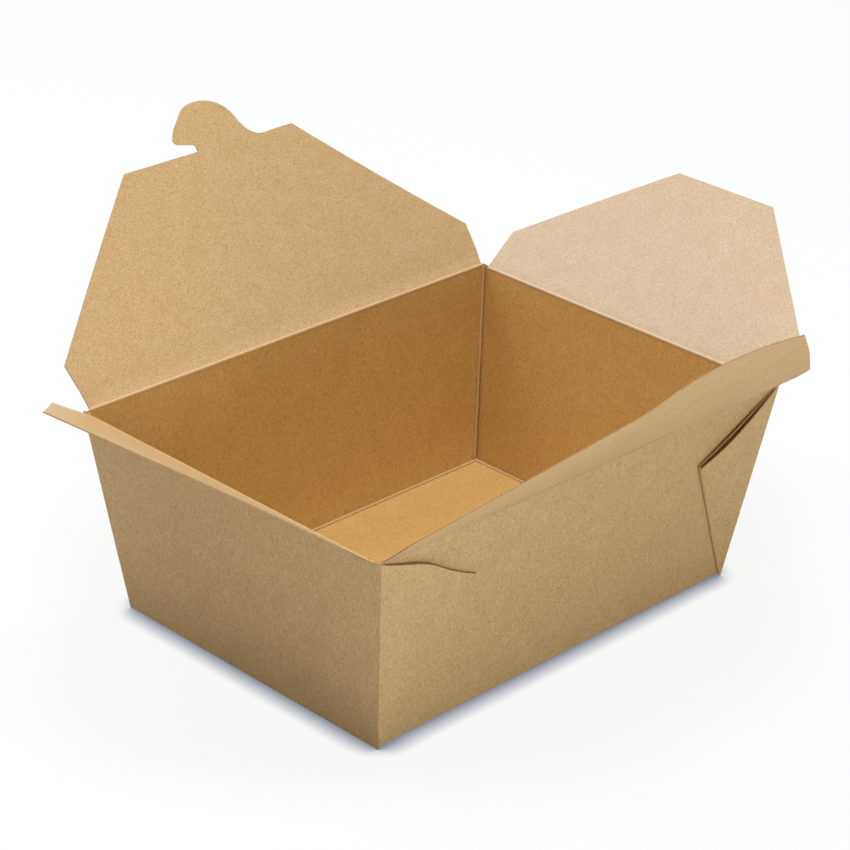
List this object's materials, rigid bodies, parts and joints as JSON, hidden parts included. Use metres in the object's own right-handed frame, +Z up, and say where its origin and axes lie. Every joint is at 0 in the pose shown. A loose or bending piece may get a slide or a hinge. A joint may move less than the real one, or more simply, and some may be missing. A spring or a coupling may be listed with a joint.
{
  "type": "takeaway box",
  "caption": "Folded kraft paperboard food box with tapered walls, gusseted corners and creased lid flaps, standing open, one with a locking hook",
  "frame": {"origin": "middle of the floor's underside, where the box stands", "axes": "+X along the long side, +Y towards the wall whose flap carries the hook, +Z up"},
  "size_m": [0.3471, 0.2899, 0.1677],
  "materials": {
    "kraft_board": "uncoated kraft outside, thin satin barrier coat inside"
  },
  "bodies": {
    "tray": {"tray": "kraft_board"},
    "hook_flap": {"hook_flap": "kraft_board"},
    "slit_flap": {"slit_flap": "kraft_board"},
    "right_side_flap": {"right_side_flap": "kraft_board"},
    "left_side_flap": {"left_side_flap": "kraft_board"}
  },
  "joints": [
    {"name": "hook_flap_crease", "type": "hinge", "parent": "tray", "child": "hook_flap", "pos_m": [0, 0.081, 0.087], "axis": [1, 0, 0], "range_deg": [-80, 129]},
    {"name": "slit_flap_crease", "type": "hinge", "parent": "tray", "child": "slit_flap", "pos_m": [0, -0.081, 0.087], "axis": [-1, 0, 0], "range_deg": [-75, 135]},
    {"name": "right_side_flap_crease", "type": "hinge", "parent": "tray", "child": "right_side_flap", "pos_m": [0.11086, 0, 0.086], "axis": [0, -1, 0], "range_deg": [-64, 145.6]},
    {"name": "left_side_flap_crease", "type": "hinge", "parent": "tray", "child": "left_side_flap", "pos_m": [-0.11086, 0, 0.086], "axis": [0, 1, 0], "range_deg": [-63.5, 146.5]}
  ]
}
